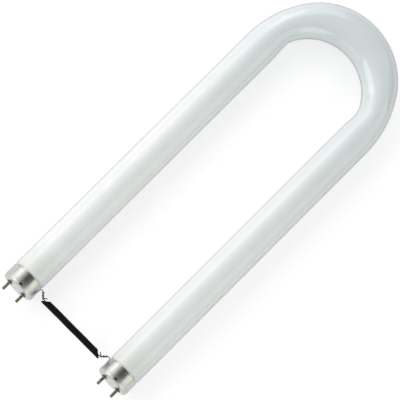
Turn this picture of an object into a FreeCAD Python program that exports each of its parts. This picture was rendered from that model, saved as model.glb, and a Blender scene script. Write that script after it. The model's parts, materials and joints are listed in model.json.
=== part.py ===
import FreeCAD, Part
import math
import os

Vector = FreeCAD.Vector

# U shaped fluorescent lamp, lying flat on its tube.
# X runs across the two legs, Y along them with the bend at +Y, Z up.
# The origin is under the middle of the whole lamp. All sizes are in millimetres.

# Whole lamp
BODY_LENGTH = 310.0  # from the cap faces to the outside of the bend
LEG_SPACING = 92.0  # between the axes of the two legs
TUBE_DIAMETER = 25.4

# Bend: its walls leave the lines of the legs, so the tube is pinched at the start and swells at the top
BEND_LEAD = 10.3  # straight leg that the shaping takes in before the half circle
BEND_OUTER_INSET = 4.3  # outer wall of the bend, inside the outer lines of the legs
BEND_INNER_INSET = 3.2  # inner wall of the bend, outside the inner lines of the legs
BEND_PINCH = 0.6  # the inner wall leans outwards by this much before it turns into the bend
BEND_CORNER_RADIUS = 16.0  # rounds the inner wall where the leg turns into the bend
APEX_SWELL = 4.0  # extra width of the tube at the top of the bend

# Necks of the glass
NECK_STEP = 0.85  # the neck is this much smaller in radius than the tube
SHOULDER_LENGTH = 1.6
NECK_END_ROUND = 2.4
TIP_DIAMETER = 4.0  # sealed exhaust tip on the end of the glass
TIP_LENGTH = 2.8

# Caps
CAP_LENGTH = 11.2
CAP_WALL = 0.4
CAP_EDGE_RADIUS = 2.4  # rounded front edge
CEMENT_THICKNESS = 0.45  # room between the neck and the cap wall
CEMENT_LENGTH = 2.6
CEMENT_SETBACK = 0.6  # from the rim of the cap
SKIN_CLEARANCE = 0.05  # between round faces that sit in each other

# Insulating plate and pins
PLATE_LAND = 0.5  # straight edge of the plate behind its rounded front edge
BOSS_DIAMETER = 4.4
BOSS_CLEARANCE = 0.1
BOSS_RISE = 0.3  # the bosses stand proud of the cap face by this much
PIN_SPACING = 12.7
PIN_DIAMETER = 2.35
PIN_LENGTH = 7.1
PIN_SHANK_DIAMETER = 2.7  # part of the pin that is held in the plate
PIN_BORE = 0.8
PIN_TIP_ROUND = 0.5
PIN_HEAD_DIAMETER = 3.8
PIN_HEAD_THICKNESS = 0.5
TIP_CLEARANCE = 0.3  # between the exhaust tip and the plate

# Lead wires from the glass to the pins
LEAD_DIAMETER = 0.5
LEAD_OFFSET = 3.6  # where a lead leaves the glass, from the axis of the leg
LEAD_STANDOFF = 0.7  # from the pin head to the sloping part of the lead
LEAD_BEND_RADIUS = 0.45
LEAD_END_SETBACK = 0.3  # the lead ends this far inside the tip of the pin

# Lanced stakes that hold the plate
STAKE_WIDTH = 1.5
STAKE_SLIT = 0.35  # gap on each side of the tongue
STAKE_FRONT = 1.2  # from the cap face to the front of the window
STAKE_REACH = 1.5  # length of the tongue, from the plate back to its root
STAKE_DEPTH = 0.45  # how far the end of the tongue is pressed in
STAKE_THICKNESS = 0.25  # the tongue is pressed thinner than the wall

# Tie wire and sleeve
WIRE_DIAMETER = 0.75
WIRE_CLEARANCE = 0.05
WIRE_BEND_INSIDE = 0.22  # inside radius of the small bends
STRAND_GAP = 0.05  # between the two strands of a twist
LOOP_LEAVE = 2.2  # from the loop round the neck to the start of the twist
TWIST_RUN = 3.4  # length of the twist along X
TWIST_DROP = 3.4  # how far the twist leads back towards the cap faces
TWIST_PITCH = 4.8
STUB_LENGTH = 2.4
STUB_ANGLE = 35.0  # degrees, cut end of the wire away from the sleeve
SLEEVE_DIAMETER = 4.8
SLEEVE_CLEARANCE = 0.15  # between the wire and the bore of the sleeve
SLEEVE_GAP = 0.8  # from the end of the twist to the long side of the sleeve
SLEEVE_SLANT = 4.8  # the slanted ends make the other side this much shorter at each end

# Values that follow from the sizes above
tube_radius = TUBE_DIAMETER / 2
leg_x = LEG_SPACING / 2
axis_z = tube_radius
face_y = PIN_LENGTH - (BODY_LENGTH + PIN_LENGTH) / 2
bend_top_y = face_y + BODY_LENGTH
pivot_y = bend_top_y - leg_x - tube_radius - BEND_LEAD
leg_end_y = pivot_y - tube_radius

neck_radius = tube_radius - NECK_STEP
cap_inner_radius = neck_radius + CEMENT_THICKNESS
cap_radius = cap_inner_radius + CAP_WALL
plate_thickness = CAP_EDGE_RADIUS - CAP_WALL + PLATE_LAND
plate_back = CAP_WALL + plate_thickness
glass_end = plate_back + TIP_CLEARANCE + TIP_LENGTH

wire_radius = WIRE_DIAMETER / 2
ring_radius = neck_radius + WIRE_CLEARANCE + wire_radius
ring_depth = CAP_LENGTH + WIRE_CLEARANCE + wire_radius
groove_end = ring_depth + wire_radius + WIRE_CLEARANCE
wire_bend_radius = wire_radius + WIRE_BEND_INSIDE
twist_radius = (WIRE_DIAMETER + STRAND_GAP) / math.sqrt(2)

left_axis = Vector(-leg_x, face_y, axis_z)
right_axis = Vector(leg_x, face_y, axis_z)


def arc_about(centre, radius, start, end):
    """Arc in a half section, with the angles in degrees from the radial direction."""
    points = []
    for angle in (start, (start + end) / 2, end):
        turn = math.radians(angle)
        points.append((centre[0] + radius * math.cos(turn), centre[1] + radius * math.sin(turn)))
    return points


def section_wire(steps, closed=True):
    """Half section from corner points (radius, depth) and three-point arcs."""
    edges = []
    last = None
    for step in steps:
        points = step if isinstance(step, list) else [step]
        spots = [Vector(p[0], p[1], 0) for p in points]
        if last is not None and last.distanceToPoint(spots[0]) > 1e-7:
            edges.append(Part.LineSegment(last, spots[0]).toShape())
        if len(spots) == 3:
            edges.append(Part.Arc(*spots).toShape())
        last = spots[-1]
    first = edges[0].Vertexes[0].Point
    if closed and last.distanceToPoint(first) > 1e-7:
        edges.append(Part.LineSegment(last, first).toShape())
    return Part.Wire(edges)


def turned(steps, axis_point):
    """Solid of revolution about a line along Y; depth runs from the point towards the bend."""
    face = Part.Face(section_wire(steps))
    solid = face.revolve(Vector(0, 0, 0), Vector(0, 1, 0), 360)
    solid.translate(axis_point)
    return solid


def rod_y(x, radius, depth_start, depth_end):
    """Round bar along Y at a distance x from the middle, between two depths behind the cap faces."""
    base = Vector(x, face_y + depth_start, axis_z)
    return Part.makeCylinder(radius, depth_end - depth_start, base, Vector(0, 1, 0))


def to_other_leg(shape):
    """The same piece on the other leg."""
    return shape.mirror(Vector(0, 0, 0), Vector(1, 0, 0))


def mirrored(point):
    return Vector(-point.x, point.y, point.z)


def ray_to_circle(angle, centre_y, centre_x, radius):
    """Distance from the pivot of the bend, along a ray, to a circle that surrounds the pivot."""
    dx = centre_x
    dy = centre_y - pivot_y
    along = dx * math.cos(angle) + dy * math.sin(angle)
    return along + math.sqrt(along ** 2 - dx ** 2 - dy ** 2 + radius ** 2)


def bend_walls(degrees):
    """Inner and outer wall of the bend on a ray from the pivot, for the right half of the bend."""
    angle = math.radians(degrees)
    leg_outer = leg_x + tube_radius
    leg_inner = leg_x - tube_radius

    outer_radius = leg_outer - BEND_OUTER_INSET
    rise = BEND_LEAD + BEND_OUTER_INSET
    easing_radius = (leg_outer ** 2 - outer_radius ** 2 + rise ** 2) / (2 * BEND_OUTER_INSET)
    easing_x = leg_outer - easing_radius
    main_wall = ray_to_circle(angle, pivot_y + rise, 0, outer_radius)
    easing_wall = ray_to_circle(angle, pivot_y, easing_x, easing_radius)
    meeting = math.atan2(rise, -easing_x)
    meeting_x = outer_radius * math.cos(meeting)
    meeting_y = rise + outer_radius * math.sin(meeting)
    outer = main_wall if angle > math.atan2(meeting_y, meeting_x) else easing_wall

    inner_radius = leg_inner + BEND_INNER_INSET
    inner_rise = BEND_LEAD - APEX_SWELL - BEND_INNER_INSET
    pinched = leg_inner + BEND_PINCH
    corner_x = pinched - BEND_CORNER_RADIUS
    corner_run = inner_radius - BEND_CORNER_RADIUS
    corner_rise = inner_rise + math.sqrt(corner_run ** 2 - corner_x ** 2)
    corner_turn = inner_radius / corner_run
    corner_end_y = inner_rise + (corner_rise - inner_rise) * corner_turn
    if angle < math.atan2(corner_rise, pinched):
        share = math.tan(angle) * pinched / corner_rise
        inner = (leg_inner + BEND_PINCH * share ** 2 * (3 - 2 * share)) / math.cos(angle)
    elif angle < math.atan2(corner_end_y, corner_x * corner_turn):
        inner = ray_to_circle(angle, pivot_y + corner_rise, corner_x, BEND_CORNER_RADIUS)
    else:
        inner = ray_to_circle(angle, pivot_y + inner_rise, 0, inner_radius)
    return inner, outer


def oval(centre, across, half_width):
    """Section of the tube: as high as the tube, and as wide as the bend makes it."""
    along = across.cross(Vector(0, 0, 1))
    to_place = FreeCAD.Matrix(
        across.x * half_width, 0, along.x, centre.x,
        across.y * half_width, 0, along.y, centre.y,
        0, tube_radius, 0, centre.z,
        0, 0, 0, 1,
    )
    return Part.Wire(Part.makeCircle(1).transformGeometry(to_place).Edges)


def make_bend():
    """Skin lofted through oval sections, from the end of one leg to the end of the other."""
    sections_per_quarter = 12
    lead_in = []
    lead_out = []
    for y in (leg_end_y, (leg_end_y + pivot_y) / 2):
        lead_in.append(oval(Vector(leg_x, y, axis_z), Vector(1, 0, 0), tube_radius))
        lead_out.insert(0, oval(Vector(-leg_x, y, axis_z), Vector(-1, 0, 0), tube_radius))
    sweep = []
    for step in range(2 * sections_per_quarter + 1):
        degrees = step * 90 / sections_per_quarter
        inner, outer = bend_walls(min(degrees, 180 - degrees))
        turn = math.radians(degrees)
        across = Vector(math.cos(turn), math.sin(turn), 0)
        centre = Vector(0, pivot_y, axis_z) + across * ((inner + outer) / 2)
        sweep.append(oval(centre, across, (outer - inner) / 2))
    return Part.makeLoft(lead_in + sweep + lead_out, False)


def make_leg():
    """Skin of the right leg, with its shoulder, neck, rounded end and sealed exhaust tip."""
    half_step = NECK_STEP / 2
    half_run = SHOULDER_LENGTH / 2
    curve = (half_run ** 2 + half_step ** 2) / (2 * half_step)
    swing = math.degrees(math.asin(half_run / curve))
    tip_radius = TIP_DIAMETER / 2
    tip_front = glass_end - TIP_LENGTH
    steps = [
        (tube_radius, leg_end_y - face_y),
        arc_about((tube_radius - curve, groove_end + SHOULDER_LENGTH), curve, 0, -swing),
        arc_about((neck_radius + curve, groove_end), curve, 180 - swing, 180),
        arc_about((neck_radius - NECK_END_ROUND, glass_end + NECK_END_ROUND), NECK_END_ROUND, 0, -90),
        (tip_radius, glass_end),
        arc_about((0, tip_front + tip_radius), tip_radius, 0, -90),
    ]
    skin = section_wire(steps, closed=False).revolve(Vector(0, 0, 0), Vector(0, 1, 0), 360)
    skin.translate(right_axis)
    return skin


def make_glass_tube():
    """One closed skin, sewn where the bend meets the legs, and filled."""
    right_leg = make_leg()
    skin = Part.makeCompound([make_bend(), right_leg, to_other_leg(right_leg)])
    skin.sewShape()
    return Part.makeSolid(skin.Shells[0])


def make_cap_shell():
    """Drawn cup with a rounded front edge, two holes for the bosses and two stakes, on the left leg."""
    bend_centre = (cap_radius - CAP_EDGE_RADIUS, CAP_EDGE_RADIUS)
    steps = [
        (0, 0),
        arc_about(bend_centre, CAP_EDGE_RADIUS, -90, 0),
        (cap_radius, CAP_LENGTH),
        (cap_inner_radius, CAP_LENGTH),
        arc_about(bend_centre, CAP_EDGE_RADIUS - CAP_WALL, 0, -90),
        (0, CAP_WALL),
    ]
    shell = turned(steps, left_axis)
    hole_radius = BOSS_DIAMETER / 2 + BOSS_CLEARANCE
    for side in (-1, 1):
        shell = shell.cut(rod_y(-leg_x + side * PIN_SPACING / 2, hole_radius, -1, CAP_WALL + 1))
    for side in (-1, 1):
        shell = stake(shell, side)
    return shell


def stake(shell, side):
    """Tongue lanced out of the cap wall and bent in behind the plate; side is 1 above, -1 below."""
    root = plate_back + STAKE_REACH
    middle = (cap_radius + cap_inner_radius) / 2
    window_width = STAKE_WIDTH + 2 * STAKE_SLIT
    corner = Vector(-leg_x - window_width / 2, face_y + STAKE_FRONT, axis_z + side * middle - CAP_WALL)
    window = Part.makeBox(window_width, root - STAKE_FRONT, 2 * CAP_WALL, corner)
    sheet = [(root + CAP_WALL, 0), (root, 0), (plate_back, -STAKE_DEPTH)]
    outer_line = [(depth, middle + drop + STAKE_THICKNESS / 2) for depth, drop in sheet]
    inner_line = [(depth, radius - STAKE_THICKNESS) for depth, radius in outer_line]
    left_x = -leg_x - STAKE_WIDTH / 2
    points = []
    for depth, radius in outer_line + inner_line[::-1]:
        points.append(Vector(left_x, face_y + depth, axis_z + side * radius))
    tongue = Part.Face(Part.makePolygon(points + points[:1])).extrude(Vector(STAKE_WIDTH, 0, 0))
    return shell.cut(window).fuse(tongue)


def make_pin_plate():
    """Insulating disc that fills the front of the left cap, with a boss round each pin."""
    edge_radius = CAP_EDGE_RADIUS - CAP_WALL
    plate_radius = cap_inner_radius - SKIN_CLEARANCE
    steps = [
        (0, CAP_WALL),
        arc_about((plate_radius - edge_radius, CAP_EDGE_RADIUS), edge_radius, -90, 0),
        (plate_radius, plate_back),
        (0, plate_back),
    ]
    plate = turned(steps, left_axis)
    for side in (-1, 1):
        x = -leg_x + side * PIN_SPACING / 2
        plate = plate.fuse(rod_y(x, BOSS_DIAMETER / 2, -BOSS_RISE, plate_back))
        plate = plate.cut(rod_y(x, PIN_SHANK_DIAMETER / 2 + SKIN_CLEARANCE, -BOSS_RISE - 1, plate_back + 1))
    return plate.removeSplitter()


def make_pin(x):
    """Hollow pin with a rounded tip, a thicker shank in the plate and a head behind it."""
    radius = PIN_DIAMETER / 2
    shank = PIN_SHANK_DIAMETER / 2
    bore = PIN_BORE / 2
    head_back = plate_back + PIN_HEAD_THICKNESS
    steps = [
        (bore, -PIN_LENGTH),
        arc_about((radius - PIN_TIP_ROUND, PIN_TIP_ROUND - PIN_LENGTH), PIN_TIP_ROUND, -90, 0),
        (radius, -BOSS_RISE),
        (shank, -BOSS_RISE),
        (shank, plate_back),
        (PIN_HEAD_DIAMETER / 2, plate_back),
        (PIN_HEAD_DIAMETER / 2, head_back),
        (bore, head_back),
    ]
    return turned(steps, Vector(x, face_y, axis_z))


def make_cement():
    """Ring of basing cement between the neck and the wall of the left cap."""
    inner = neck_radius + SKIN_CLEARANCE
    outer = cap_inner_radius - SKIN_CLEARANCE
    back = CAP_LENGTH - CEMENT_SETBACK
    steps = [
        (inner, back - CEMENT_LENGTH),
        (outer, back - CEMENT_LENGTH),
        (outer, back),
        (inner, back),
    ]
    return turned(steps, left_axis)


def rounded_run(points, bend_radius):
    """Straight runs between points, with a tangent arc at each corner."""
    edges = []
    last = points[0]
    for before, corner, after in zip(points, points[1:], points[2:]):
        back = (before - corner).normalize()
        on = (after - corner).normalize()
        half_turn = (math.pi - back.getAngle(on)) / 2
        setback = bend_radius * math.tan(half_turn)
        middle = (back + on).normalize()
        depth = bend_radius / math.cos(half_turn) - bend_radius
        start = corner + back * setback
        end = corner + on * setback
        edges.append(Part.LineSegment(last, start).toShape())
        edges.append(Part.Arc(start, corner + middle * depth, end).toShape())
        last = end
    edges.append(Part.LineSegment(last, points[-1]).toShape())
    return edges


def round_wire(edges, radius):
    """Round wire along a smooth path."""
    path = Part.Wire(edges)
    first = edges[0]
    start = first.valueAt(first.FirstParameter)
    profile = Part.Wire(Part.makeCircle(radius, start, first.tangentAt(first.FirstParameter)))
    return path.makePipeShell([profile], True, False)


def make_lead(side):
    """Wire from the glass end of the left leg into the bore of one of its pins."""
    near_x = -leg_x + side * LEAD_OFFSET
    pin_x = -leg_x + side * PIN_SPACING / 2
    turn_depth = plate_back + PIN_HEAD_THICKNESS + LEAD_STANDOFF
    leave_depth = (glass_end + turn_depth) / 2
    route = [
        (near_x, glass_end),
        (near_x, leave_depth),
        (pin_x, turn_depth),
        (pin_x, LEAD_END_SETBACK - PIN_LENGTH),
    ]
    points = [Vector(x, face_y + depth, axis_z) for x, depth in route]
    return round_wire(rounded_run(points, LEAD_BEND_RADIUS), LEAD_DIAMETER / 2)


def twist_start():
    """Start of the axis of the left twist, beside the loop round the neck."""
    return Vector(-leg_x + ring_radius + LOOP_LEAVE, face_y + ring_depth, axis_z)


def twist_points(side):
    """Corners of one strand of the left twist, a quarter turn apart, from the loop to the sleeve."""
    along = Vector(TWIST_RUN, -TWIST_DROP, 0)
    across = Vector(-TWIST_DROP, -TWIST_RUN, 0).normalize()
    quarters = 4 * max(1, round(along.Length / TWIST_PITCH)) + 1
    points = []
    for quarter in range(quarters + 1):
        turn = quarter * math.pi / 2
        offset = Vector(0, 0, math.cos(turn)) + across * math.sin(turn)
        points.append(twist_start() + along * (quarter / quarters) + offset * (side * twist_radius))
    return points


def loop_leave(side):
    """End of the left loop and the corner where the strand turns out of it, above or below the axis."""
    leave = math.asin((twist_radius + 2 * wire_bend_radius) / ring_radius)
    run = (ring_radius * math.sin(leave) - twist_radius) / math.cos(leave)
    centre = Vector(-leg_x, face_y + ring_depth, axis_z)
    end = centre + Vector(ring_radius * math.cos(leave), 0, side * ring_radius * math.sin(leave))
    corner = end + Vector(run * math.sin(leave), 0, -side * run * math.cos(leave))
    return end, corner


def make_tie_wire():
    """One wire: a cut end, a twist, the loop round a neck, the straight run and the same again."""
    stub_turn = math.radians(STUB_ANGLE)
    tail = twist_points(-1)
    cut_end = tail[-1] + Vector(math.cos(stub_turn), math.sin(stub_turn), 0) * STUB_LENGTH
    loop_start, tail_corner = loop_leave(-1)
    loop_end, main_corner = loop_leave(1)
    loop_far = Vector(-leg_x - ring_radius, face_y + ring_depth, axis_z)

    tail_run = [cut_end] + tail[::-1] + [tail_corner, loop_start]
    main_half = [loop_end, main_corner] + twist_points(1)
    main_run = main_half + [mirrored(point) for point in main_half[::-1]]
    other_tail_run = [mirrored(point) for point in tail_run[::-1]]

    path = rounded_run(tail_run, wire_bend_radius)
    path.append(Part.Arc(loop_start, loop_far, loop_end).toShape())
    path += rounded_run(main_run, wire_bend_radius)
    path.append(Part.Arc(mirrored(loop_end), mirrored(loop_far), mirrored(loop_start)).toShape())
    path += rounded_run(other_tail_run, wire_bend_radius)
    return round_wire(path, wire_radius)


def make_sleeve():
    """Black sleeve on the straight wire, longer on the side of the cap faces."""
    wire_start = twist_points(1)[-1]
    half_long = -wire_start.x - SLEEVE_GAP
    radius = SLEEVE_DIAMETER / 2
    corners = [
        Vector(-half_long, wire_start.y - radius, 0),
        Vector(half_long, wire_start.y - radius, 0),
        Vector(half_long - SLEEVE_SLANT, wire_start.y + radius, 0),
        Vector(-half_long + SLEEVE_SLANT, wire_start.y + radius, 0),
    ]
    outline = Part.Face(Part.makePolygon(corners + corners[:1]))
    slab = outline.extrude(Vector(0, 0, axis_z + SLEEVE_DIAMETER))
    start = Vector(-half_long, wire_start.y, axis_z)
    bar = Part.makeCylinder(radius, 2 * half_long, start, Vector(1, 0, 0))
    bore = Part.makeCylinder(wire_radius + SLEEVE_CLEARANCE, 2 * half_long, start, Vector(1, 0, 0))
    return bar.common(slab).cut(bore)


nodes = {
    "glass_tube": make_glass_tube(),
    "tie_wire": make_tie_wire(),
    "spacer_sleeve": make_sleeve(),
}
left_pieces = {
    "cap_shell": make_cap_shell(),
    "pin_plate": make_pin_plate(),
    "basing_cement": make_cement(),
}
for place, side in (("outer", -1), ("inner", 1)):
    left_pieces[place + "_pin"] = make_pin(-leg_x + side * PIN_SPACING / 2)
    left_pieces[place + "_lead"] = make_lead(side)
for name, piece in left_pieces.items():
    nodes["left_" + name] = piece
    nodes["right_" + name] = to_other_leg(piece)

os.makedirs("parts", exist_ok=True)
for name, shape in nodes.items():
    shape.exportStep("parts/" + name + ".step")
    print(name, len(shape.Solids), "solid", round(shape.Volume, 2), "mm3", "valid", shape.isValid())
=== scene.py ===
# %% [markdown]
# # A U shaped fluorescent lamp
# The lamp is one glass tube, bent double and coated white on the inside. A small aluminium cap closes each
# end, and a wire in a black sleeve ties the two caps together. The solids come ready made in the frame, at
# their real size and in their real places, so this lesson is about skins, finishes and light.

# %% Load the frame
import json
import math

import bpy
from mathutils import Matrix, Vector


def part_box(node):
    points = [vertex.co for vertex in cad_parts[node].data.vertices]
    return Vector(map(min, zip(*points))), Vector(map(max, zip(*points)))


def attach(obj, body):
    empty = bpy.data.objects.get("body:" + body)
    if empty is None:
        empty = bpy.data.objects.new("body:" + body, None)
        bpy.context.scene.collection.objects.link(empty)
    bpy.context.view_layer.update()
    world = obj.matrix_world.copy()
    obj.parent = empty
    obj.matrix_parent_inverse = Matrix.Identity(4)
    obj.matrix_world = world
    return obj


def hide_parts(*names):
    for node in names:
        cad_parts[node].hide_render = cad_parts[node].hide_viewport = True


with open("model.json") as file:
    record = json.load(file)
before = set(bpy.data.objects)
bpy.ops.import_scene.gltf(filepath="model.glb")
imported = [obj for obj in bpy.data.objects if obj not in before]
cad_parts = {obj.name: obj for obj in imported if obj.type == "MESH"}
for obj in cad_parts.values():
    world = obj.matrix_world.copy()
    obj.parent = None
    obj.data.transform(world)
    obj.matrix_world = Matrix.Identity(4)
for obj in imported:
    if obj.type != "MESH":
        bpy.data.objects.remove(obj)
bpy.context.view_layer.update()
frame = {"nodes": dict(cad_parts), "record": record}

MM = 0.001
nodes = frame["nodes"]
print("nodes in the frame:", len(nodes))

# %% [markdown]
# The lamp lies flat: X runs across the two legs, Y along them towards the bend, Z up. The main sizes are
# measured on the frame, so whatever is drawn here fits the solids and still fits them if they change.

# %% Measure the lamp
glass_low, glass_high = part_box("glass_tube")
cap_low, cap_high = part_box("right_cap_shell")

TUBE_RADIUS = (glass_high.z - glass_low.z) / 2
LEG_X = glass_high.x - TUBE_RADIUS
AXIS_Z = TUBE_RADIUS
BEND_TOP_Y = glass_high.y
FACE_Y = cap_low.y
RIM_Y = cap_high.y
print("tube radius", round(TUBE_RADIUS / MM, 2), "mm, legs at", round(LEG_X / MM, 2), "mm from the middle")

# %% [markdown]
# The camera comes first, because everything after it is judged through it. It hangs far above the lamp with
# a long lens, so the legs stay almost parallel. It leans a little towards the caps, which shows their
# faces, and it is turned so that the lamp lies on the diagonal of a square picture.

# %% Camera
CAMERA_DISTANCE = 4.55
CAMERA_LEAN = math.radians(11.5)
CAMERA_ROLL = math.radians(45.11)
PICTURE_WIDTH = 276.2 * MM
AIM = Vector((0, -16.7 * MM, AXIS_Z))
CLIP_END = 50

away = Vector((0, -math.sin(CAMERA_LEAN), math.cos(CAMERA_LEAN)))
level_right = Vector((1, 0, 0))
level_up = away.cross(level_right)
right = level_right * math.cos(CAMERA_ROLL) + level_up * math.sin(CAMERA_ROLL)
up = away.cross(right)

bpy.ops.object.camera_add(location=AIM + away * CAMERA_DISTANCE)
camera = bpy.context.object
camera.rotation_euler = Matrix((right, up, away)).transposed().to_euler()
camera.data.lens = camera.data.sensor_width * CAMERA_DISTANCE / PICTURE_WIDTH
camera.data.clip_end = CLIP_END
bpy.context.scene.camera = camera
print("lens", round(camera.data.lens), "mm")


# %% [markdown]
# Every finish below is a small tree of nodes. Four helpers keep the trees short: one turns a colour as it is
# picked on a screen into the linear numbers that a shader wants, one adds a node and wires it up, one starts
# an empty material, and one turns the real size of a grain into the scale of a texture.

# %% Helpers for finishes
def hex_colour(code):
    """Linear colour from an sRGB hex code."""
    channels = [int(code[i:i + 2], 16) / 255 for i in (0, 2, 4)]
    linear = [c / 12.92 if c <= 0.04045 else ((c + 0.055) / 1.055) ** 2.4 for c in channels]
    return (*linear, 1.0)


def add_node(tree, kind, settings=None, values=None, links=None):
    """Adds one node: settings are its properties, values its plain inputs, links its linked inputs."""
    node = tree.nodes.new(kind)
    for name, value in (settings or {}).items():
        setattr(node, name, value)
    for name, value in (values or {}).items():
        node.inputs[name].default_value = value
    for name, output in (links or {}).items():
        tree.links.new(output, node.inputs[name])
    return node


def new_material(name):
    """Starts an empty material, and gives it with its tree."""
    material = bpy.data.materials.new(name)
    material.use_nodes = True
    material.node_tree.nodes.clear()
    return material, material.node_tree


def grains(size):
    """Scale of a texture whose grains are this long, in metres."""
    return 1 / size


COLOUR_MIX = {"data_type": "RGBA"}
MIX_SHARE, MIX_FROM, MIX_TO, MIX_RESULT = 0, 6, 7, 2  # sockets of the Mix node when it mixes colours
NOISE_LOW, NOISE_HIGH = 0.3, 0.7  # most of a noise texture lies between these


# %% [markdown]
# ## The glass
# The tube is drawn soda glass with white powder baked onto its inner wall. The powder is what gives the lamp
# its colour. It is greyer and bluer towards the bend, a little darker at the ends, and it lies unevenly
# everywhere, in soft clouds.

# %% Baked powder
COAT_CLOUD = 14 * MM
CLOUD_SHARE = 0.12
BLUE_START_Y = -40 * MM
END_DARKENING = 32 * MM
END_SHARE = 0.45


def powder_colour(tree, place, clouds):
    """Colour of the baked powder: bluer towards the bend, darker at the ends, a little cloudy."""
    along = add_node(tree, "ShaderNodeSeparateXYZ", links={"Vector": place}).outputs["Y"]
    to_bend = add_node(tree, "ShaderNodeMapRange", {"interpolation_type": "SMOOTHSTEP"},
                       values={"From Min": BLUE_START_Y, "From Max": BEND_TOP_Y}, links={"Value": along})
    # The colour turns greyer and bluer towards the bend.
    bend_tinted = add_node(tree, "ShaderNodeMix", COLOUR_MIX,
                         values={MIX_FROM: hex_colour("F5F6F4"), MIX_TO: hex_colour("E3EAEC")},
                         links={MIX_SHARE: to_bend.outputs["Result"]})
    to_end = add_node(tree, "ShaderNodeMapRange", {"interpolation_type": "SMOOTHSTEP"},
                      values={"From Min": RIM_Y, "From Max": RIM_Y + END_DARKENING,
                              "To Min": END_SHARE, "To Max": 0.0}, links={"Value": along})
    darkened = add_node(tree, "ShaderNodeMix", COLOUR_MIX, values={MIX_TO: hex_colour("DCDED9")},
                        links={MIX_SHARE: to_end.outputs["Result"],
                               MIX_FROM: bend_tinted.outputs[MIX_RESULT]})
    thin = add_node(tree, "ShaderNodeMapRange",
                    values={"From Min": NOISE_LOW, "From Max": NOISE_HIGH, "To Max": CLOUD_SHARE},
                    links={"Value": clouds.outputs["Fac"]})
    uneven = add_node(tree, "ShaderNodeMix", COLOUR_MIX, values={MIX_TO: hex_colour("D2D8D8")},
                      links={MIX_SHARE: thin.outputs["Result"], MIX_FROM: darkened.outputs[MIX_RESULT]})
    return uneven.outputs[MIX_RESULT]


print("clouds in the powder:", round(COAT_CLOUD / MM), "mm long")


# %% [markdown]
# Through the glass the eye gets a matt white body under a clear, very smooth skin, so the finish is a rough
# white base with a clear coat over it. Towards the outline the base colour is mixed, by the angle of the
# surface, towards a dark green-grey. This is partly the glass wall's own green-grey, seen along the wall, and
# partly painted shade that draws a dark outline round the tube.
# Drawn glass is never quite even, so long shallow ripples bend the reflections a little.

# %% Coated glass
GLASS_RIPPLE = 9 * MM
RIPPLE_STRETCH = 0.12
RIPPLE_HEIGHT = 0.012 * MM
# Where the painted outline shade starts, where it is full, and how strongly it darkens the glass.
EDGE_START, EDGE_FULL = 0.51, 0.92
EDGE_SHARE = 0.8


def coated_glass():
    """Drawn soda glass over baked white powder: matt white depth under a smooth clear skin."""
    material, tree = new_material("phosphor_coated_soda_glass")
    place = add_node(tree, "ShaderNodeTexCoord").outputs["Object"]
    clouds = add_node(tree, "ShaderNodeTexNoise", values={"Scale": grains(COAT_CLOUD), "Detail": 3.0},
                      links={"Vector": place})
    # Painted shade: towards the outline the base colour darkens to a green-grey, partly the glass wall's own
    # tint.
    facing = add_node(tree, "ShaderNodeLayerWeight", values={"Blend": 0.5}).outputs["Facing"]
    painted_outline_shade = add_node(tree, "ShaderNodeMapRange",
                       values={"From Min": EDGE_START, "From Max": EDGE_FULL, "To Max": EDGE_SHARE},
                       links={"Value": facing})
    body = add_node(tree, "ShaderNodeMix", COLOUR_MIX, values={MIX_TO: hex_colour("6F7573")},
                    links={MIX_SHARE: painted_outline_shade.outputs["Result"],
                           MIX_FROM: powder_colour(tree, place, clouds)})
    drawn = add_node(tree, "ShaderNodeMapping", values={"Scale": (1, RIPPLE_STRETCH, 1)},
                     links={"Vector": place})
    ripple = add_node(tree, "ShaderNodeTexNoise", values={"Scale": grains(GLASS_RIPPLE), "Detail": 2.0},
                      links={"Vector": drawn.outputs["Vector"]})
    bump = add_node(tree, "ShaderNodeBump", values={"Distance": RIPPLE_HEIGHT},
                    links={"Height": ripple.outputs["Fac"]})
    matt = add_node(tree, "ShaderNodeMapRange", values={"To Min": 0.5, "To Max": 0.7},
                    links={"Value": clouds.outputs["Fac"]})
    shader = add_node(
        tree, "ShaderNodeBsdfPrincipled",
        values={"Coat Weight": 1.0, "Coat Roughness": 0.05, "Coat IOR": 1.65, "Specular IOR Level": 0.1},
        links={"Base Color": body.outputs[MIX_RESULT], "Roughness": matt.outputs["Result"],
               "Normal": bump.outputs["Normal"], "Coat Normal": bump.outputs["Normal"]})
    add_node(tree, "ShaderNodeOutputMaterial", links={"Surface": shader.outputs["BSDF"]})
    return material


finishes = {"coated_glass": coated_glass()}
print("finish of the tube:", finishes["coated_glass"].name)

# %% [markdown]
# The shape of the tube can't be read off a box, so the sizes of its bend and of its ends are written out.
# The walls of the bend leave the lines of the legs: the tube is pinched where the bend starts and swollen
# at its top. Each end narrows to a neck, which goes into the cap, and is sealed with a small round tip.

# %% Sizes of the tube
BEND_LEAD = 10.3 * MM
BEND_OUTER_INSET = 4.3 * MM
BEND_INNER_INSET = 3.2 * MM
BEND_PINCH = 0.6 * MM
BEND_CORNER_RADIUS = 16.0 * MM
APEX_SWELL = 4.0 * MM
PIVOT_Y = BEND_TOP_Y - LEG_X - TUBE_RADIUS - BEND_LEAD

NECK_STEP = 0.85 * MM
NECK_RADIUS = TUBE_RADIUS - NECK_STEP
NECK_END_ROUND = 2.4 * MM
RIM_GAP = 0.85 * MM
SHOULDER_Y = RIM_Y + RIM_GAP
SHOULDER_LENGTH = 1.6 * MM
TIP_RADIUS = 2.0 * MM
TIP_LENGTH = 2.8 * MM
TIP_SPACE = 6.0 * MM
GLASS_END_Y = FACE_Y + TIP_SPACE
print("the bend turns about y =", round(PIVOT_Y / MM, 2), "mm")


# %% [markdown]
# Seen from above, each wall of the bend is a few arcs. They are worked out as distances from the pivot,
# along rays that sweep from the leg to the top of the bend, because the rings of the tube will stand on
# such rays.

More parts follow.
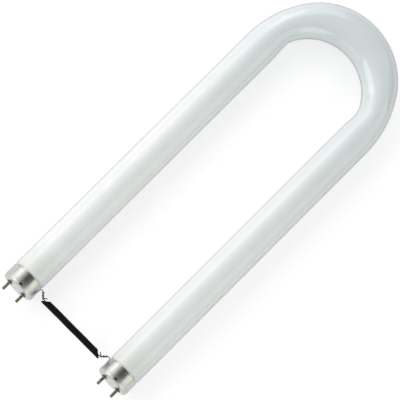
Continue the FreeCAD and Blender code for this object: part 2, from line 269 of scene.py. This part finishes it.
# %% Walls of the bend
def ray_to_circle(angle, centre_x, centre_y, radius):
    """Distance from the pivot, along a ray, to a circle that surrounds the pivot."""
    along = centre_x * math.cos(angle) + centre_y * math.sin(angle)
    return along + math.sqrt(along ** 2 - centre_x ** 2 - centre_y ** 2 + radius ** 2)


def eased(share):
    """Share that starts and ends gently."""
    return share ** 2 * (3 - 2 * share)


def outer_wall(angle):
    """Distance from the pivot to the outer wall, on a ray in the right half of the bend."""
    leg_outer = LEG_X + TUBE_RADIUS
    radius = leg_outer - BEND_OUTER_INSET
    rise = BEND_LEAD + BEND_OUTER_INSET
    easing_radius = (leg_outer ** 2 - radius ** 2 + rise ** 2) / (2 * BEND_OUTER_INSET)
    easing_x = leg_outer - easing_radius
    meeting = math.atan2(rise, -easing_x)
    meeting_angle = math.atan2(rise + radius * math.sin(meeting), radius * math.cos(meeting))
    if angle > meeting_angle:
        return ray_to_circle(angle, 0, rise, radius)
    return ray_to_circle(angle, easing_x, 0, easing_radius)


def inner_wall(angle):
    """Distance from the pivot to the inner wall, on a ray in the right half of the bend."""
    leg_inner = LEG_X - TUBE_RADIUS
    radius = leg_inner + BEND_INNER_INSET
    rise = BEND_LEAD - APEX_SWELL - BEND_INNER_INSET
    pinched = leg_inner + BEND_PINCH
    corner_x = pinched - BEND_CORNER_RADIUS
    corner_run = radius - BEND_CORNER_RADIUS
    corner_y = rise + math.sqrt(corner_run ** 2 - corner_x ** 2)
    turn = radius / corner_run
    if angle < math.atan2(corner_y, pinched):
        return (leg_inner + BEND_PINCH * eased(math.tan(angle) * pinched / corner_y)) / math.cos(angle)
    if angle < math.atan2(rise + (corner_y - rise) * turn, corner_x * turn):
        return ray_to_circle(angle, corner_x, corner_y, BEND_CORNER_RADIUS)
    return ray_to_circle(angle, 0, rise, radius)


TOP = math.radians(90)
print("tube at the top of the bend:", round((outer_wall(TOP) - inner_wall(TOP)) / MM, 2), "mm wide")


# %% [markdown]
# A curve with a round profile can't give this tube, because its section changes along the bend. So half of
# it is built the way a boat is: upright rings stand at their places along the leg, the rings of the bend
# are squeezed to their two walls and swung round the pivot, and one bridge covers them all with a skin. A
# mirror makes the other half.

# %% Tools for rings
RING_POINTS = 96


def add_ring(y, radius, x=LEG_X):
    """Adds an upright ring round an axis along Y, and leaves it selected."""
    bpy.ops.mesh.primitive_circle_add(
        vertices=RING_POINTS, radius=radius, location=(x, y, AXIS_Z), rotation=(math.pi / 2, 0, 0))


def add_bend_ring(angle):
    """Adds a ring of the bend: squeezed to its walls on the line of the pivot, then swung round."""
    inner = inner_wall(angle)
    outer = outer_wall(angle)
    middle = (inner + outer) / 2
    add_ring(PIVOT_Y, TUBE_RADIUS, middle)
    width_share = (outer - inner) / (2 * TUBE_RADIUS)
    bpy.ops.transform.resize(value=(width_share, 1, 1), center_override=(middle, PIVOT_Y, AXIS_Z))
    bpy.ops.transform.rotate(value=-angle, orient_axis="Z", center_override=(0, PIVOT_Y, AXIS_Z))


print("points in a ring:", RING_POINTS)

# %% [markdown]
# The rings start at the sealed tip. The first one is filled, which closes the glass, and the others follow
# in edit mode, so that they all belong to one mesh: round the tip, round the end of the neck, and up the
# shoulder to the full width of the tube.

# %% Rings of the sealed end
ROUND_RINGS = 4
SHOULDER_RINGS = 7
first_turn = TOP / ROUND_RINGS
tip_y = GLASS_END_Y - TIP_LENGTH


def add_tip_ring(k):
    """Adds one ring of the round tip, counted from its point."""
    turn = first_turn * k
    add_ring(tip_y + TIP_RADIUS * (1 - math.cos(turn)), TIP_RADIUS * math.sin(turn))


bpy.ops.object.select_all(action="DESELECT")
add_tip_ring(1)
tube = bpy.context.object
tube.name = "coated_glass_tube"
bpy.ops.object.transform_apply(location=True, rotation=True, scale=True)
bpy.ops.object.mode_set(mode="EDIT")
bpy.ops.mesh.edge_face_add()
for k in range(2, ROUND_RINGS + 1):
    add_tip_ring(k)
add_ring(GLASS_END_Y, TIP_RADIUS)
for k in range(ROUND_RINGS + 1):
    turn = first_turn * k
    y = GLASS_END_Y + NECK_END_ROUND * (1 - math.cos(turn))
    add_ring(y, NECK_RADIUS - NECK_END_ROUND * (1 - math.sin(turn)))
for k in range(SHOULDER_RINGS):
    share = k / (SHOULDER_RINGS - 1)
    radius = NECK_RADIUS + (TUBE_RADIUS - NECK_RADIUS) * eased(share)
    add_ring(SHOULDER_Y + SHOULDER_LENGTH * share, radius)
print("rings of the sealed end:", 2 * (ROUND_RINGS + 1) + SHOULDER_RINGS)

# %% [markdown]
# The leg is straight and needs only a few rings. The bend gets many, so that its outline stays round.

# %% Rings of the leg and the bend
LEG_RINGS = 16
BEND_RINGS = 36

leg_start = SHOULDER_Y + SHOULDER_LENGTH
for k in range(1, LEG_RINGS):
    add_ring(leg_start + (PIVOT_Y - leg_start) * k / LEG_RINGS, TUBE_RADIUS)
for k in range(BEND_RINGS + 1):
    add_bend_ring(TOP * k / BEND_RINGS)
print("rings of the leg and the bend:", LEG_RINGS - 1 + BEND_RINGS + 1)

# %% [markdown]
# One bridge joins the rings in their order. The half tube is open at the top of the bend, where the mirror
# joins its twin to it. The seam is welded, and the faces are turned outwards before the skin is smoothed.

# %% Skin over the rings
MIRROR_WELD = 0.01 * MM
SEAM_WELD = 0.001 * MM

bpy.ops.mesh.select_all(action="SELECT")
bpy.ops.mesh.bridge_edge_loops()
bpy.ops.object.mode_set(mode="OBJECT")
bpy.ops.object.modifier_add(type="MIRROR")
tube.modifiers["Mirror"].merge_threshold = MIRROR_WELD
bpy.ops.object.modifier_apply(modifier="Mirror")
bpy.ops.object.mode_set(mode="EDIT")
bpy.ops.mesh.select_all(action="SELECT")
bpy.ops.mesh.remove_doubles(threshold=SEAM_WELD)
bpy.ops.mesh.normals_make_consistent(inside=False)
bpy.ops.object.mode_set(mode="OBJECT")
bpy.ops.object.shade_smooth()

tube.data.materials.append(finishes["coated_glass"])
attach(tube, "root")
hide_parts("glass_tube")
print("glass tube:", len(tube.data.vertices), "points,", len(tube.data.polygons), "faces")


# %% [markdown]
# ## The caps
# Each cap is a cup drawn from thin aluminium sheet. The solid already has its rounded front edge and the
# two lanced stakes, so only the finish is made here. The die leaves fine lines along the wall. They are far
# thinner than a pixel, so they are drawn coarser than life: noise that is stretched along Y gives lines on
# the wall and an even grain on the flat face. Metal shows little colour of its own, so the lines are a
# matter of roughness and bump, and only a faint cloud of handling marks changes the colour. Holders have
# gripped the wall behind the front edge and scuffed it, so the metal is duller there than at the rim.

# %% Drawn aluminium
DRAW_LINE = 0.6 * MM
DRAW_STRETCH = 0.03
DRAW_DEPTH = 0.006 * MM
HANDLING_MARK = 4 * MM
SCUFF_FRONT_Y = FACE_Y + 0.6 * MM
SCUFF_MOST_Y = FACE_Y + 2.2 * MM
SCUFF_BACK_Y = FACE_Y + 6.5 * MM
SCUFF_DULLING = 0.16


def drawn_aluminium():
    """Aluminium sheet drawn through a die: bright satin with fine lines, scuffed behind the front edge."""
    material, tree = new_material("drawn_aluminium")
    place = add_node(tree, "ShaderNodeTexCoord").outputs["Object"]
    drawn = add_node(tree, "ShaderNodeMapping", values={"Scale": (1, DRAW_STRETCH, 1)},
                     links={"Vector": place})
    lines = add_node(tree, "ShaderNodeTexNoise", values={"Scale": grains(DRAW_LINE), "Detail": 2.0},
                     links={"Vector": drawn.outputs["Vector"]})
    marks = add_node(tree, "ShaderNodeTexNoise", values={"Scale": grains(HANDLING_MARK), "Detail": 4.0},
                     links={"Vector": place})
    colour = add_node(tree, "ShaderNodeMix", COLOUR_MIX,
                      values={MIX_FROM: hex_colour("CACAC7"), MIX_TO: hex_colour("B8B8B4")},
                      links={MIX_SHARE: marks.outputs["Fac"]})
    satin = add_node(tree, "ShaderNodeMapRange",
                     values={"From Min": NOISE_LOW, "From Max": NOISE_HIGH, "To Min": 0.24, "To Max": 0.36},
                     links={"Value": lines.outputs["Fac"]})
    along = add_node(tree, "ShaderNodeSeparateXYZ", links={"Vector": place}).outputs["Y"]
    scuff = add_node(tree, "ShaderNodeMapRange",
                     values={"From Min": SCUFF_MOST_Y, "From Max": SCUFF_BACK_Y,
                             "To Min": SCUFF_DULLING, "To Max": 0.0}, links={"Value": along})
    behind_edge = add_node(tree, "ShaderNodeMapRange",
                           values={"From Min": SCUFF_FRONT_Y, "From Max": SCUFF_MOST_Y},
                           links={"Value": along})
    dull = add_node(tree, "ShaderNodeMath", {"operation": "MULTIPLY_ADD"},
                    links={0: scuff.outputs["Result"], 1: behind_edge.outputs["Result"],
                           2: satin.outputs["Result"]})
    bump = add_node(tree, "ShaderNodeBump", values={"Distance": DRAW_DEPTH},
                    links={"Height": lines.outputs["Fac"]})
    shader = add_node(
        tree, "ShaderNodeBsdfPrincipled", values={"Metallic": 1.0},
        links={"Base Color": colour.outputs[MIX_RESULT], "Roughness": dull.outputs["Value"],
               "Normal": bump.outputs["Normal"]})
    add_node(tree, "ShaderNodeOutputMaterial", links={"Surface": shader.outputs["BSDF"]})
    return material


finishes["cap_aluminium"] = drawn_aluminium()
print("finish of the caps:", finishes["cap_aluminium"].name)


# %% [markdown]
# ## Pins and plates
# The pins are tubes of brass, with a lead wire in each bore. They have been handled and have gone dull, so
# little of the yellow is left: a greyish brass is mixed with brown-grey tarnish in small patches. Faint
# rings, wider apart than in life, so that they show, are what the forming tool left.

# %% Tarnished brass
TARNISH_PATCH = 1.4 * MM
TURNED_LINE = 0.5 * MM
TURNED_DEPTH = 0.01 * MM


def tarnished_brass():
    """Brass tube left bare: dull yellow-grey metal with darker tarnish and faint rings."""
    material, tree = new_material("tarnished_brass")
    place = add_node(tree, "ShaderNodeTexCoord").outputs["Object"]
    patches = add_node(tree, "ShaderNodeTexNoise", values={"Scale": grains(TARNISH_PATCH), "Detail": 4.0},
                       links={"Vector": place})
    share = add_node(tree, "ShaderNodeMapRange", values={"From Min": 0.35, "From Max": 0.65},
                     links={"Value": patches.outputs["Fac"]})
    colour = add_node(tree, "ShaderNodeMix", COLOUR_MIX,
                      values={MIX_FROM: hex_colour("ACA18E"), MIX_TO: hex_colour("544D42")},
                      links={MIX_SHARE: share.outputs["Result"]})
    dull = add_node(tree, "ShaderNodeMapRange", values={"To Min": 0.12, "To Max": 0.26},
                    links={"Value": patches.outputs["Fac"]})
    rings = add_node(tree, "ShaderNodeTexWave", {"bands_direction": "Y"},
                     values={"Scale": grains(TURNED_LINE) / math.tau, "Distortion": 1.5, "Detail": 2.0},
                     links={"Vector": place})
    bump = add_node(tree, "ShaderNodeBump", values={"Distance": TURNED_DEPTH},
                    links={"Height": rings.outputs["Fac"]})
    shader = add_node(
        tree, "ShaderNodeBsdfPrincipled", values={"Metallic": 1.0},
        links={"Base Color": colour.outputs[MIX_RESULT], "Roughness": dull.outputs["Result"],
               "Normal": bump.outputs["Normal"]})
    add_node(tree, "ShaderNodeOutputMaterial", links={"Surface": shader.outputs["BSDF"]})
    return material


finishes["pin_brass"] = tarnished_brass()
print("finish of the pins:", finishes["pin_brass"].name)


# %% [markdown]
# The plates behind the cap faces are pressed phenolic board: dark brown, with a fine fibre in it. Only their
# bosses show, as dark rings round the pins.

# %% Pressed phenolic board
BOARD_FIBRE = 0.35 * MM
FIBRE_HEIGHT = 0.01 * MM


def phenolic_board():
    """Paper board pressed with brown resin: dark, half matt, with a fine fibre."""
    material, tree = new_material("pressed_phenolic_board")
    place = add_node(tree, "ShaderNodeTexCoord").outputs["Object"]
    fibre = add_node(tree, "ShaderNodeTexNoise", values={"Scale": grains(BOARD_FIBRE), "Detail": 5.0},
                     links={"Vector": place})
    colour = add_node(tree, "ShaderNodeMix", COLOUR_MIX,
                      values={MIX_FROM: hex_colour("17110D"), MIX_TO: hex_colour("33261C")},
                      links={MIX_SHARE: fibre.outputs["Fac"]})
    matt = add_node(tree, "ShaderNodeMapRange", values={"To Min": 0.4, "To Max": 0.65},
                    links={"Value": fibre.outputs["Fac"]})
    bump = add_node(tree, "ShaderNodeBump", values={"Distance": FIBRE_HEIGHT},
                    links={"Height": fibre.outputs["Fac"]})
    shader = add_node(
        tree, "ShaderNodeBsdfPrincipled",
        links={"Base Color": colour.outputs[MIX_RESULT], "Roughness": matt.outputs["Result"],
               "Normal": bump.outputs["Normal"]})
    add_node(tree, "ShaderNodeOutputMaterial", links={"Surface": shader.outputs["BSDF"]})
    return material


finishes["phenolic"] = phenolic_board()
print("finish of the plates:", finishes["phenolic"].name)


# %% [markdown]
# ## Wires and cement
# The leads inside the pins are plated wire. Only a dot of each can be seen, but they are finished as the
# rest is, because a part may be looked at from inside.

# %% Plated lead wire
WIRE_LINE = 0.12 * MM
WIRE_LINE_DEPTH = 0.004 * MM
WIRE_SKIN = WIRE_LINE * 8


def plated_wire():
    """Plated lead wire: grey metal with fine lines and a thin skin that is darker in places."""
    material, tree = new_material("plated_lead_wire")
    place = add_node(tree, "ShaderNodeTexCoord").outputs["Object"]
    skin = add_node(tree, "ShaderNodeTexNoise", values={"Scale": grains(WIRE_SKIN), "Detail": 4.0},
                    links={"Vector": place})
    colour = add_node(tree, "ShaderNodeMix", COLOUR_MIX,
                      values={MIX_FROM: hex_colour("B9B1A4"), MIX_TO: hex_colour("8C8478")},
                      links={MIX_SHARE: skin.outputs["Fac"]})
    lines = add_node(tree, "ShaderNodeTexNoise", values={"Scale": grains(WIRE_LINE), "Detail": 2.0},
                     links={"Vector": place})
    satin = add_node(tree, "ShaderNodeMapRange", values={"To Min": 0.25, "To Max": 0.4},
                     links={"Value": lines.outputs["Fac"]})
    bump = add_node(tree, "ShaderNodeBump", values={"Distance": WIRE_LINE_DEPTH},
                    links={"Height": lines.outputs["Fac"]})
    shader = add_node(
        tree, "ShaderNodeBsdfPrincipled", values={"Metallic": 1.0},
        links={"Base Color": colour.outputs[MIX_RESULT], "Roughness": satin.outputs["Result"],
               "Normal": bump.outputs["Normal"]})
    add_node(tree, "ShaderNodeOutputMaterial", links={"Surface": shader.outputs["BSDF"]})
    return material


finishes["lead_metal"] = plated_wire()
print("finish of the leads:", finishes["lead_metal"].name)


# %% [markdown]
# The tie is soft steel wire, drawn bright and twisted with pliers. Between the caps and the sleeve it is
# darker. Round the necks it is brighter still: painted light that lifts the shade of the groove at the cap
# rims. The two colours are mixed by the distance from the middle of the lamp.

# %% Twisted steel wire
TWIST_DARK_X = LEG_X - TUBE_RADIUS - 3.5 * MM
TWIST_BRIGHT_X = LEG_X - TUBE_RADIUS + 0.5 * MM


def twisted_wire():
    """Steel wire: darker towards the sleeve, painted brighter round the necks against the rim's shade."""
    material, tree = new_material("hand_twisted_steel_wire")
    place = add_node(tree, "ShaderNodeTexCoord").outputs["Object"]
    across = add_node(tree, "ShaderNodeSeparateXYZ", links={"Vector": place}).outputs["X"]
    from_middle = add_node(tree, "ShaderNodeMath", {"operation": "ABSOLUTE"}, links={0: across})
    # Painted light: the wire is coloured brighter round the necks, which lifts the shade of the groove at the
    # cap rims.
    painted_light_share = add_node(tree, "ShaderNodeMapRange", {"interpolation_type": "SMOOTHSTEP"},
                      values={"From Min": TWIST_DARK_X, "From Max": TWIST_BRIGHT_X},
                      links={"Value": from_middle.outputs["Value"]})
    skin = add_node(tree, "ShaderNodeTexNoise", values={"Scale": grains(WIRE_SKIN), "Detail": 4.0},
                    links={"Vector": place})
    # Darker colour of the wire between the caps and the sleeve.
    dull = add_node(tree, "ShaderNodeMix", COLOUR_MIX,
                    values={MIX_FROM: hex_colour("6A6A68"), MIX_TO: hex_colour("2E2E2D")},
                    links={MIX_SHARE: skin.outputs["Fac"]})
    bright = add_node(tree, "ShaderNodeMix", COLOUR_MIX,
                      values={MIX_FROM: hex_colour("DCDCD8"), MIX_TO: hex_colour("B0B0AC")},
                      links={MIX_SHARE: skin.outputs["Fac"]})
    colour = add_node(tree, "ShaderNodeMix", COLOUR_MIX,
                      links={MIX_SHARE: painted_light_share.outputs["Result"], MIX_FROM: dull.outputs[MIX_RESULT],
                             MIX_TO: bright.outputs[MIX_RESULT]})
    lines = add_node(tree, "ShaderNodeTexNoise", values={"Scale": grains(WIRE_LINE), "Detail": 2.0},
                     links={"Vector": place})
    satin = add_node(tree, "ShaderNodeMapRange", values={"To Min": 0.14, "To Max": 0.26},
                     links={"Value": lines.outputs["Fac"]})
    bump = add_node(tree, "ShaderNodeBump", values={"Distance": WIRE_LINE_DEPTH},
                    links={"Height": lines.outputs["Fac"]})
    shader = add_node(
        tree, "ShaderNodeBsdfPrincipled", values={"Metallic": 1.0},
        links={"Base Color": colour.outputs[MIX_RESULT], "Roughness": satin.outputs["Result"],
               "Normal": bump.outputs["Normal"]})
    add_node(tree, "ShaderNodeOutputMaterial", links={"Surface": shader.outputs["BSDF"]})
    return material


finishes["tie_steel"] = twisted_wire()
print("finish of the tie:", finishes["tie_steel"].name)


# %% [markdown]
# The cement that holds a cap on its neck is a baked resin with chalk in it, dull and sandy. It lies inside
# the caps.

# %% Baked cement
CEMENT_GRAIN = 0.3 * MM
CEMENT_GRAIN_HEIGHT = 0.03 * MM


def baked_cement():
    """Resin and chalk, baked hard: a dull tan with a sandy grain."""
    material, tree = new_material("baked_basing_cement")
    place = add_node(tree, "ShaderNodeTexCoord").outputs["Object"]
    grain = add_node(tree, "ShaderNodeTexNoise", values={"Scale": grains(CEMENT_GRAIN), "Detail": 6.0},
                     links={"Vector": place})
    colour = add_node(tree, "ShaderNodeMix", COLOUR_MIX,
                      values={MIX_FROM: hex_colour("C0B092"), MIX_TO: hex_colour("8F7F63")},
                      links={MIX_SHARE: grain.outputs["Fac"]})
    matt = add_node(tree, "ShaderNodeMapRange", values={"To Min": 0.75, "To Max": 0.95},
                    links={"Value": grain.outputs["Fac"]})
    bump = add_node(tree, "ShaderNodeBump", values={"Distance": CEMENT_GRAIN_HEIGHT},
                    links={"Height": grain.outputs["Fac"]})
    shader = add_node(
        tree, "ShaderNodeBsdfPrincipled",
        links={"Base Color": colour.outputs[MIX_RESULT], "Roughness": matt.outputs["Result"],
               "Normal": bump.outputs["Normal"]})
    add_node(tree, "ShaderNodeOutputMaterial", links={"Surface": shader.outputs["BSDF"]})
    return material


finishes["basing_cement"] = baked_cement()
print("finish of the cement:", finishes["basing_cement"].name)

# %% [markdown]
# The finishes go onto the solids by the names of their slots. A solid's mesh isn't touched: only the entry
# in its list of materials changes.

# %% Finishes on the solids
finished = 0
for row in frame["record"]["subparts"]:
    if row["material_slot"] in finishes:
        node = nodes[row["node"]]
        node.data.materials.clear()
        node.data.materials.append(finishes[row["material_slot"]])
        finished += 1
print("solids with a new finish:", finished)

# %% [markdown]
# ## The sleeve
# The sleeve is a length of soft black tubing, cut at a slant and pushed over the wire. A ready made cylinder
# would look like a rod, so an open cylinder is only the start, and two slanted cuts take off its ends.

# %% Sleeve tubing
sleeve_low, sleeve_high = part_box("spacer_sleeve")
sleeve_middle = (sleeve_low + sleeve_high) / 2
sleeve_length = sleeve_high.x - sleeve_low.x
SLEEVE_RADIUS = (sleeve_high.z - sleeve_low.z) / 2
SLEEVE_SLANT = 4.8 * MM
SLEEVE_POINTS = 40
SQUEEZE = 0.012

bpy.ops.object.select_all(action="DESELECT")
bpy.ops.mesh.primitive_cylinder_add(
    vertices=SLEEVE_POINTS, radius=SLEEVE_RADIUS * (1 - SQUEEZE), depth=sleeve_length,
    end_fill_type="NOTHING", location=sleeve_middle, rotation=(0, math.pi / 2, 0))
sleeve = bpy.context.object
sleeve.name = "black_spacer_sleeve"
bpy.ops.object.transform_apply(location=True, rotation=True, scale=True)
bpy.ops.object.mode_set(mode="EDIT")
for side in (-1, 1):
    long_corner = (sleeve_middle.x + side * sleeve_length / 2, sleeve_low.y, sleeve_middle.z)
    outwards = Vector((side * 2 * SLEEVE_RADIUS, SLEEVE_SLANT, 0)).normalized()
    bpy.ops.mesh.select_all(action="SELECT")
    bpy.ops.mesh.bisect(plane_co=long_corner, plane_no=outwards, clear_outer=True)
print("sleeve:", round(sleeve_length / MM, 1), "mm long")

# %% [markdown]
# Limp tubing never lies quite straight. The sleeve is cut across into short stretches, and each new ring,
# which a cut leaves selected, is pushed a little off the line and swollen or squeezed.

# %% Limp sleeve
SLEEVE_WALL = 1.1 * MM
SLEEVE_CUTS = 17
SAG = 0.03 * MM
SIDE_WAVES = 2
SWELL_WAVES = 3

half_even = sleeve_length / 2 - SLEEVE_SLANT - SLEEVE_WALL
for k in range(SLEEVE_CUTS):
    cut_x = sleeve_middle.x - half_even + 2 * half_even * k / (SLEEVE_CUTS - 1)
    cut_centre = (cut_x, sleeve_middle.y, sleeve_middle.z)
    bpy.ops.mesh.select_all(action="SELECT")
    bpy.ops.mesh.bisect(plane_co=cut_centre, plane_no=(1, 0, 0))
    phase = math.tau * k / (SLEEVE_CUTS - 1)
    off_line = (0, SAG * math.sin(SIDE_WAVES * phase), -SAG * math.sin(phase / 2))
    bpy.ops.transform.translate(value=off_line)
    swell = 1 + SQUEEZE * math.sin(SWELL_WAVES * phase)
    bpy.ops.transform.resize(value=(1, swell, swell), center_override=cut_centre)
print("stretches of the sleeve:", SLEEVE_CUTS + 1)

# %% [markdown]
# So far the sleeve is a skin. Solidify gives it its wall, inwards, so that the outside keeps its size, and a
# bevel rounds the cut edges, which catch a little light on real tubing.

# %% Sleeve wall and edges
SLEEVE_EDGE = 0.2 * MM
EDGE_STEPS = 3
SHARP_ANGLE = math.radians(40)

bpy.ops.mesh.select_all(action="SELECT")
bpy.ops.mesh.normals_make_consistent(inside=False)
bpy.ops.object.mode_set(mode="OBJECT")
bpy.ops.object.modifier_add(type="SOLIDIFY")
sleeve.modifiers["Solidify"].thickness = SLEEVE_WALL
sleeve.modifiers["Solidify"].offset = -1
bpy.ops.object.modifier_apply(modifier="Solidify")
bpy.ops.object.modifier_add(type="BEVEL")
sleeve.modifiers["Bevel"].width = SLEEVE_EDGE
sleeve.modifiers["Bevel"].segments = EDGE_STEPS
sleeve.modifiers["Bevel"].angle_limit = SHARP_ANGLE
bpy.ops.object.modifier_apply(modifier="Bevel")
bpy.ops.object.shade_smooth_by_angle(angle=SHARP_ANGLE)
print("sleeve faces:", len(sleeve.data.polygons))


# %% [markdown]
# Soft tubing is pushed through a die while it is warm, which leaves faint lines along it. Their colour is a
# little paler, a painted highlight of their ridges. Black rubber is never quite black and never quite matt.

# %% Black rubber
TUBING_LINE = 0.7 * MM
TUBING_STRETCH = 0.04
TUBING_LINE_DEPTH = 0.03 * MM


def black_rubber():
    """Extruded soft rubber: black, half matt, with faint lines along it, painted paler as highlights."""
    material, tree = new_material("extruded_black_rubber")
    place = add_node(tree, "ShaderNodeTexCoord").outputs["Object"]
    extruded = add_node(tree, "ShaderNodeMapping", values={"Scale": (TUBING_STRETCH, 1, 1)},
                        links={"Vector": place})
    lines = add_node(tree, "ShaderNodeTexNoise", values={"Scale": grains(TUBING_LINE), "Detail": 3.0},
                     links={"Vector": extruded.outputs["Vector"]})
    # Painted highlight: the die lines are coloured a little paler, as if their ridges caught the light.
    painted_ridge_highlight = add_node(tree, "ShaderNodeMapRange", values={"From Min": 0.45, "From Max": 0.75},
                     links={"Value": lines.outputs["Fac"]})
    colour = add_node(tree, "ShaderNodeMix", COLOUR_MIX,
                      values={MIX_FROM: hex_colour("060606"), MIX_TO: hex_colour("1C1C1E")},
                      links={MIX_SHARE: painted_ridge_highlight.outputs["Result"]})
    matt = add_node(tree, "ShaderNodeMapRange", values={"To Min": 0.45, "To Max": 0.75},
                    links={"Value": lines.outputs["Fac"]})
    bump = add_node(tree, "ShaderNodeBump", values={"Distance": TUBING_LINE_DEPTH},
                    links={"Height": lines.outputs["Fac"]})
    shader = add_node(
        tree, "ShaderNodeBsdfPrincipled", values={"Specular IOR Level": 0.12},
        links={"Base Color": colour.outputs[MIX_RESULT], "Roughness": matt.outputs["Result"],
               "Normal": bump.outputs["Normal"]})
    add_node(tree, "ShaderNodeOutputMaterial", links={"Surface": shader.outputs["BSDF"]})
    return material


sleeve.data.materials.append(black_rubber())
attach(sleeve, "root")
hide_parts("spacer_sleeve")
print("finish of the sleeve:", sleeve.data.materials[0].name)

# %% [markdown]
# ## Studio
# The floor is a plain pale sheet. To the camera, and to whatever mirrors it, it also glows a little, which
# brings it to white without putting more light on the lamp. The lamp's shadow still falls on it.

# %% Floor
FLOOR_SIZE = 40
FLOOR_GLOW = 0.66

bpy.ops.object.select_all(action="DESELECT")
bpy.ops.mesh.primitive_plane_add(size=FLOOR_SIZE, location=(0, 0, 0))
floor = bpy.context.object
floor.name = "floor"
material, tree = new_material("white_paper_floor")
paper = add_node(tree, "ShaderNodeBsdfDiffuse", values={"Color": hex_colour("BCBCBC")})
path = add_node(tree, "ShaderNodeLightPath")
mirrored = add_node(tree, "ShaderNodeMath", {"operation": "MAXIMUM"}, links={
    0: path.outputs["Is Glossy Ray"], 1: path.outputs["Is Transmission Ray"]})
seen = add_node(tree, "ShaderNodeMath", {"operation": "MAXIMUM"}, links={
    0: path.outputs["Is Camera Ray"], 1: mirrored.outputs["Value"]})
strength = add_node(tree, "ShaderNodeMath", {"operation": "MULTIPLY"}, values={1: FLOOR_GLOW},
                    links={0: seen.outputs["Value"]})
glow = add_node(tree, "ShaderNodeEmission", links={"Strength": strength.outputs["Value"]})
both = add_node(tree, "ShaderNodeAddShader", links={0: paper.outputs["BSDF"], 1: glow.outputs["Emission"]})
add_node(tree, "ShaderNodeOutputMaterial", links={"Surface": both.outputs["Shader"]})
floor.data.materials.append(material)
print("floor", FLOOR_SIZE, "m wide")

# %% [markdown]
# White glass on white paper shows only by its reflections and its soft shading, so the light is a tent: a
# ring of softboxes round the lamp, open at the top, where the camera looks in. The dark opening is what draws
# the grey line along the glass and the dark band on the caps. The walls of the tent aren't equally bright.
# The left one is the main light, and a long bright strip across it draws the streak along the legs. The right
# one hangs in two lengths on one plane, and the front length is brighter and cooler. The right back one hangs
# higher and is dim, which keeps the outer edge of the bend darker. Each row of the table is one softbox: its
# direction in degrees, from X towards Y, the elevations of its lower and upper edge, its width in metres, how
# far it is moved along Y, its radiance and its tint.

# %% Walls of the tent
TENT_DISTANCE = 1.5
TENT = [
    ("left low wall", 180, 3, 26, 1.6, 0.3, 1.3, "F8FBFF"),
    ("left strip", 180, 26, 39, 2.3, 0.35, 2.45, "FFFFFF"),
    ("left high wall", 180, 39, 58, 1.6, 0.3, 1.2, "F8FCFF"),
    ("left top", 180, 58, 72, 1.6, 0.3, 0.5, "FFFFFF"),
    ("left front", 224, 5, 50, 1.0, 0.0, 2.3, "FFFEFB"),
    ("front", 270, 5, 30, 1.1, 0.0, 1.1, "FFFFFF"),
    ("right front wall", 0, 5, 48, 1.4, -1.1, 2.05, "F0F8FF"),
    ("right wall", 0, 5, 48, 1.6, 0.4, 1.34, "FFFFF2"),
    ("right back", 52, 22, 58, 1.0, 0.0, 0.55, "EDF3FF"),
    ("back", 90, 5, 45, 1.1, 0.0, 0.4, "FFFFFF"),
    ("left back", 128, 5, 50, 1.0, 0.0, 1.3, "FFFFFF"),
]
print("softboxes in the tent:", len(TENT))


# %% [markdown]
# A softbox is an area light. The lamp mirrors the radiance of a softbox, whatever its size, so the table
# gives that, and the power of the light follows from it: pi times the area times the radiance.

# %% Softboxes
def softbox(name, direction, low, high, width, along_y, radiance, tint):
    """Adds a flat softbox of even radiance that stands between two elevations and faces the lamp."""
    turn = math.radians(direction)
    rise = math.radians((low + high) / 2)
    height = 2 * TENT_DISTANCE * math.tan(math.radians((high - low) / 2))
    aim = Vector((0, along_y, 0))
    way = Vector((math.cos(turn) * math.cos(rise), math.sin(turn) * math.cos(rise), math.sin(rise)))
    bpy.ops.object.light_add(type="AREA", location=aim + way * TENT_DISTANCE)
    light = bpy.context.object
    light.name = name
    light.data.shape = "RECTANGLE"
    light.data.size, light.data.size_y = width, height
    light.data.energy = radiance * math.pi * width * height
    light.data.color = hex_colour(tint)[:3]
    light.rotation_euler = way.to_track_quat("Z", "Y").to_euler()


for row in TENT:
    softbox(*row)

# %% [markdown]
# What the tent leaves open is a dim room. The glass and the caps mirror it as grey and black, so it is kept
# low. The plain view transform shows the colours about as they are written.

# %% Room
WORLD_STRENGTH = 0.08

world = bpy.data.worlds.new("dim studio")
bpy.context.scene.world = world
world.use_nodes = True
background = world.node_tree.nodes["Background"]
background.inputs["Color"].default_value = hex_colour("FFFFFF")
background.inputs["Strength"].default_value = WORLD_STRENGTH
bpy.context.scene.view_settings.view_transform = "Standard"
print("light of the room:", WORLD_STRENGTH)
